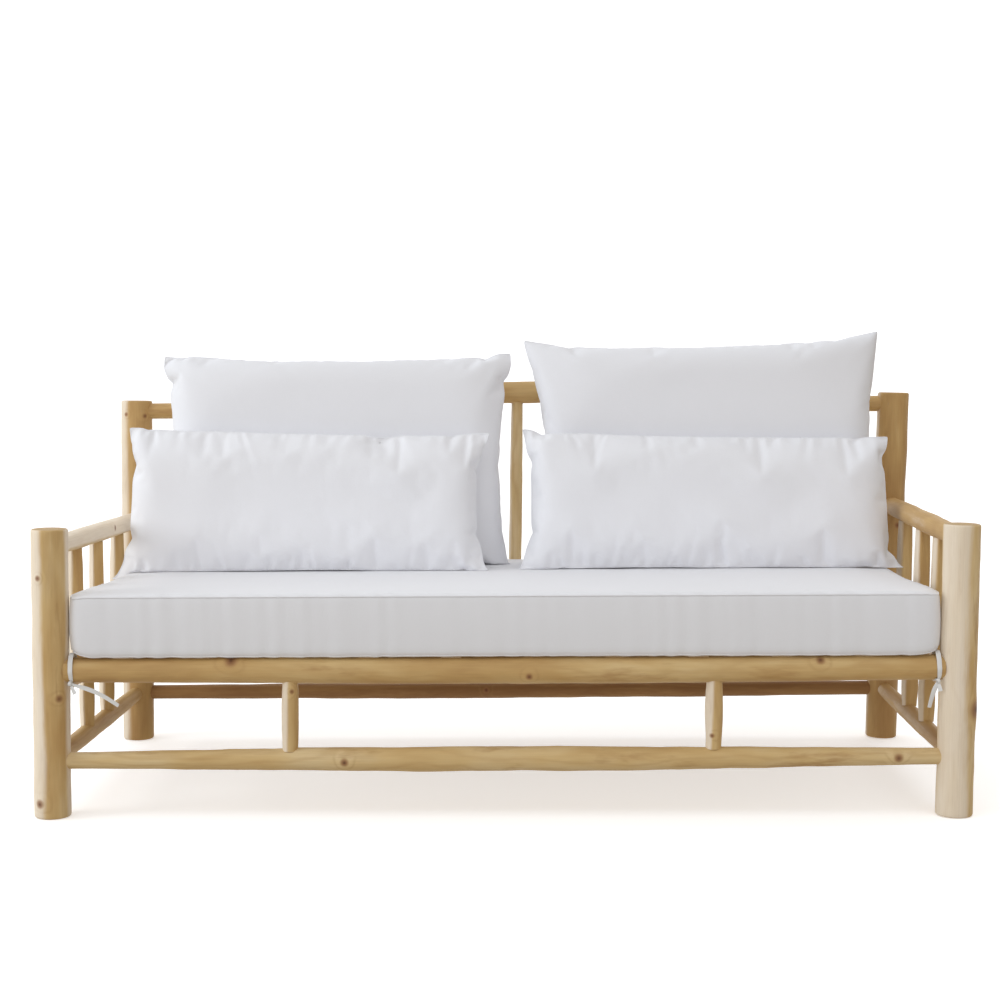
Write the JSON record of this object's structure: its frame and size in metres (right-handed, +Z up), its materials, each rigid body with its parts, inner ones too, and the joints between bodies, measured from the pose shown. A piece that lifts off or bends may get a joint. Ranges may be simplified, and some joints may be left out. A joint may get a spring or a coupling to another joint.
{
  "type": "daybed",
  "caption": "Rustic daybed of peeled round logs with tenoned rails and spindles, a slatted seat, a tied-on box mattress, and loose back and lumbar cushions.",
  "frame": {"origin": "centre of the bounding box on the floor", "axes": "+X to the right along the length, +Y from the open front to the back rail, +Z up"},
  "size_m": [1.8229, 0.8, 0.9259],
  "materials": {
    "log_wood": "satin",
    "slat_wood": "matte",
    "peg_wood": "matte",
    "screw_steel": "satin",
    "mattress_cloth": "matte",
    "cushion_cloth": "matte",
    "tape_cotton": "matte",
    "mattress_foam": "matte",
    "cushion_fill": "matte"
  },
  "bodies": {
    "frame": {"front_left_post": "log_wood", "front_right_post": "log_wood", "rear_left_post": "log_wood", "rear_right_post": "log_wood", "front_seat_rail": "log_wood", "rear_seat_rail": "log_wood", "left_seat_rail": "log_wood", "right_seat_rail": "log_wood", "front_stretcher": "log_wood", "rear_stretcher": "log_wood", "left_stretcher": "log_wood", "right_stretcher": "log_wood", "left_arm_rail": "log_wood", "right_arm_rail": "log_wood", "back_top_rail": "log_wood", "front_spindle_left": "log_wood", "front_spindle_right": "log_wood", "left_upper_spindle_1": "log_wood", "left_upper_spindle_2": "log_wood", "left_upper_spindle_3": "log_wood", "right_upper_spindle_1": "log_wood", "right_upper_spindle_2": "log_wood", "right_upper_spindle_3": "log_wood", "left_lower_spindle_1": "log_wood", "left_lower_spindle_2": "log_wood", "right_lower_spindle_1": "log_wood", "right_lower_spindle_2": "log_wood", "back_spindle_1": "log_wood", "back_spindle_2": "log_wood", "back_spindle_3": "log_wood", "back_spindle_4": "log_wood", "back_spindle_5": "log_wood", "back_spindle_6": "log_wood", "back_spindle_7": "log_wood", "seat_slat_1": "slat_wood", "seat_slat_2": "slat_wood", "seat_slat_3": "slat_wood", "seat_slat_4": "slat_wood", "seat_slat_5": "slat_wood", "seat_slat_6": "slat_wood", "seat_slat_7": "slat_wood", "seat_slat_8": "slat_wood", "seat_slat_9": "slat_wood", "seat_slat_10": "slat_wood", "slat_screws": "screw_steel", "joint_pegs": "peg_wood", "mattress_cover": "mattress_cloth", "mattress_core": "mattress_foam", "front_left_tie": "tape_cotton", "front_right_tie": "tape_cotton", "rear_left_tie": "tape_cotton", "rear_right_tie": "tape_cotton"},
    "left_back_cushion": {"left_back_cushion_cover": "cushion_cloth", "left_back_cushion_insert": "cushion_fill"},
    "left_lumbar_cushion": {"left_lumbar_cushion_cover": "cushion_cloth", "left_lumbar_cushion_insert": "cushion_fill"},
    "right_back_cushion": {"right_back_cushion_cover": "cushion_cloth", "right_back_cushion_insert": "cushion_fill"},
    "right_lumbar_cushion": {"right_lumbar_cushion_cover": "cushion_cloth", "right_lumbar_cushion_insert": "cushion_fill"}
  },
  "joints": [
    {"name": "left_back_cushion_lift", "type": "slide", "parent": "frame", "child": "left_back_cushion", "axis": [0, 0, 1], "range_m": [0, 0.55]},
    {"name": "left_lumbar_cushion_lift", "type": "slide", "parent": "left_back_cushion", "child": "left_lumbar_cushion", "axis": [0, 0, 1], "range_m": [0, 0.55]},
    {"name": "right_back_cushion_lift", "type": "slide", "parent": "frame", "child": "right_back_cushion", "axis": [0, 0, 1], "range_m": [0, 0.55]},
    {"name": "right_lumbar_cushion_lift", "type": "slide", "parent": "right_back_cushion", "child": "right_lumbar_cushion", "axis": [0, 0, 1], "range_m": [0, 0.55]}
  ]
}
